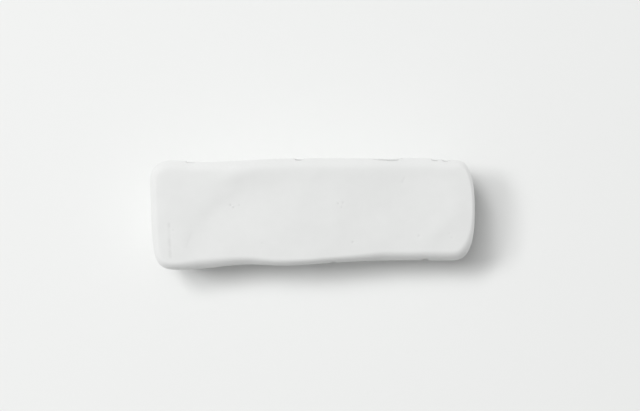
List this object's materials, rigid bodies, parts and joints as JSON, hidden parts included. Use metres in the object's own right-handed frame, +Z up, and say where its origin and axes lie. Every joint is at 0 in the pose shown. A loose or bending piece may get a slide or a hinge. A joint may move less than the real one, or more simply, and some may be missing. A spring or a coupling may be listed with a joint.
{
  "type": "gymnastics chalk block",
  "caption": "Pressed magnesium carbonate grip chalk as one solid bar, hand-worn, with rounded edges, a bowed end and a softly dished top.",
  "frame": {"origin": "on the resting face, under the middle of the block's bounding box", "axes": "+X along the block's length, towards the bowed end; +Y across its width; +Z up, out of the worn top"},
  "size_m": [0.12, 0.0414, 0.0274],
  "materials": {
    "chalk": "matte"
  },
  "bodies": {
    "root": {"chalk_block": "chalk"}
  },
  "joints": []
}
